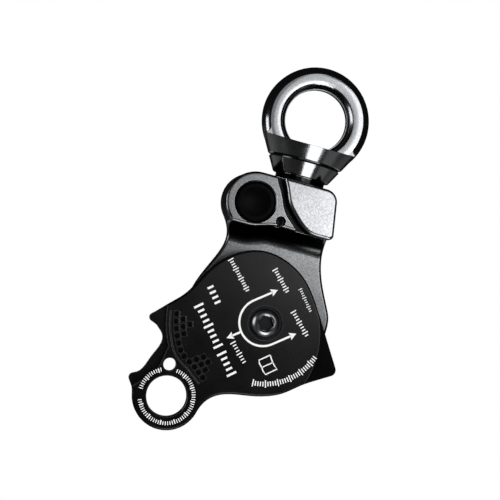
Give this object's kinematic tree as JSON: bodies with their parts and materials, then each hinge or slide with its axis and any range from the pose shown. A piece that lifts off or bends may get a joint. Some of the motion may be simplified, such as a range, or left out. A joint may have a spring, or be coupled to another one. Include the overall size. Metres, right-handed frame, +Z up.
{
  "type": "swivel rope pulley",
  "caption": "Rope pulley with a swivel eye, a ball-bearing sheave in a one-piece frame, and a swinging side plate, shown open, that a spring lock button holds shut.",
  "frame": {"origin": "centre of the hole in the swivel eye", "axes": "+Z up along the swivel axis, the front with the side plate faces -Y, +X to the right seen from the front; the sheave turns about Y"},
  "size_m": [0.0684, 0.0318, 0.1359],
  "materials": {
    "anodised_eye": "black anodised, bead-blasted",
    "anodised_frame": "black anodised, bead-blasted",
    "anodised_plate": "black anodised, smooth",
    "anodised_button": "black anodised, satin",
    "anodised_sheave": "dark grey anodised, turned",
    "blackened_steel": "blackened steel",
    "stainless_steel": "turned stainless steel",
    "bearing_steel": "ground and polished",
    "spring_steel": "oiled spring steel",
    "zinc_plug": "dull zinc",
    "bronze": "sintered bronze",
    "black_rubber": "matte",
    "nylon_cage": "moulded nylon"
  },
  "bodies": {
    "swivel_head": {"swivel_eye": "anodised_eye", "grease_port_plug": "zinc_plug", "neck_seal": "black_rubber"},
    "frame": {"main_frame": "anodised_frame", "swivel_stem": "stainless_steel", "stem_cross_pin": "stainless_steel", "axle": "blackened_steel", "axle_washer": "blackened_steel", "axle_screw": "blackened_steel", "bearing_inner_race": "bearing_steel", "spacer_front": "stainless_steel", "spacer_rear": "stainless_steel", "button_cap": "anodised_frame", "button_spring": "spring_steel"},
    "swivel_ball_rows": {"swivel_balls_lower": "bearing_steel", "swivel_balls_upper": "bearing_steel"},
    "swing_plate": {"side_plate": "anodised_plate", "plate_bushing": "bronze"},
    "sheave_wheel": {"sheave": "anodised_sheave", "bearing_outer_race": "bearing_steel", "bearing_shields": "stainless_steel", "bearing_snap_ring": "spring_steel"},
    "ball_cage": {"bearing_cage": "nylon_cage", "bearing_balls": "bearing_steel"},
    "button": {"lock_button": "anodised_button", "button_seal": "black_rubber"}
  },
  "joints": [
    {"name": "swivel_spin", "type": "hinge", "parent": "swivel_head", "child": "frame", "pos_m": [0, 0, 0], "axis": [0, 0, 1], "continuous": true},
    {"name": "swivel_ball_orbit", "type": "hinge", "parent": "swivel_head", "child": "swivel_ball_rows", "pos_m": [0, 0, 0], "axis": [0, 0, 1], "continuous": true},
    {"name": "side_plate_swing", "type": "hinge", "parent": "frame", "child": "swing_plate", "pos_m": [0, -0.0092, -0.0727], "axis": [0, 1, 0], "range_deg": [-150, 122.2]},
    {"name": "sheave_spin", "type": "hinge", "parent": "frame", "child": "sheave_wheel", "pos_m": [0, 0, -0.0727], "axis": [0, 1, 0], "continuous": true},
    {"name": "ball_cage_orbit", "type": "hinge", "parent": "frame", "child": "ball_cage", "pos_m": [0, 0, -0.0727], "axis": [0, 1, 0], "continuous": true},
    {"name": "lock_button_push", "type": "slide", "parent": "frame", "child": "button", "axis": [0, -1, 0], "range_m": [0, 0.004], "stiffness_N_per_m": 400, "springref_m": 0.007}
  ],
  "couplings": [
    {"joint": "swivel_ball_orbit", "follows": "swivel_spin", "ratio": 0.5},
    {"joint": "ball_cage_orbit", "follows": "sheave_spin", "ratio": 0.6209}
  ]
}
